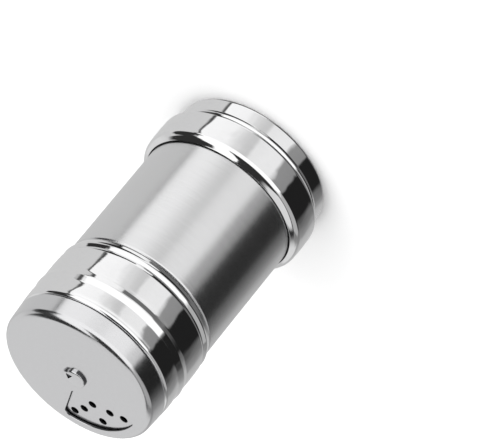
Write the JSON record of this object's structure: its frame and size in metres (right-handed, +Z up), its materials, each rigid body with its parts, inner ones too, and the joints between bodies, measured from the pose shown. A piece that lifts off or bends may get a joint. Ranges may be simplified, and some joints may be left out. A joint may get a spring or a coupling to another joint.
{
  "type": "spice shaker",
  "caption": "Cylindrical steel spice shaker with a screw lid; a turning cover on the lid uncovers either a group of sprinkle holes or a wide pouring slot.",
  "frame": {"origin": "centre of the foot, on the plane the shaker stands on", "axes": "+Z up along the axis of the can, towards the lid; the six sprinkle holes lie towards -X and +Y"},
  "size_m": [0.0506, 0.0506, 0.0879],
  "materials": {
    "brushed_body": "brushed round the can",
    "polished_base": "polished steel",
    "polished_cap": "polished steel",
    "liner_plastic": "moulded",
    "seal_rubber": "soft pale rubber",
    "satin_cover": "fine satin",
    "satin_rivet": "fine satin",
    "spring_steel": "plain"
  },
  "bodies": {
    "jar": {"jar_body": "brushed_body", "base_cup": "polished_base"},
    "seal": {"seal_gasket": "seal_rubber"},
    "cap": {"cap_shell": "polished_cap", "cap_liner": "liner_plastic"},
    "cover": {"rotating_cover": "satin_cover", "pivot_rivet": "satin_rivet", "spring_washer": "spring_steel"}
  },
  "joints": [
    {"name": "cap_lift", "type": "slide", "parent": "jar", "child": "seal", "axis": [0, 0, 1], "range_m": [0, 0.03]},
    {"name": "cap_twist", "type": "hinge", "parent": "seal", "child": "cap", "pos_m": [0, 0, 0.0685], "axis": [0, 0, 1], "range_deg": [0, 430]},
    {"name": "cover_turn", "type": "hinge", "parent": "cap", "child": "cover", "pos_m": [0, 0, 0.0859], "axis": [0, 0, 1], "continuous": true}
  ]
}
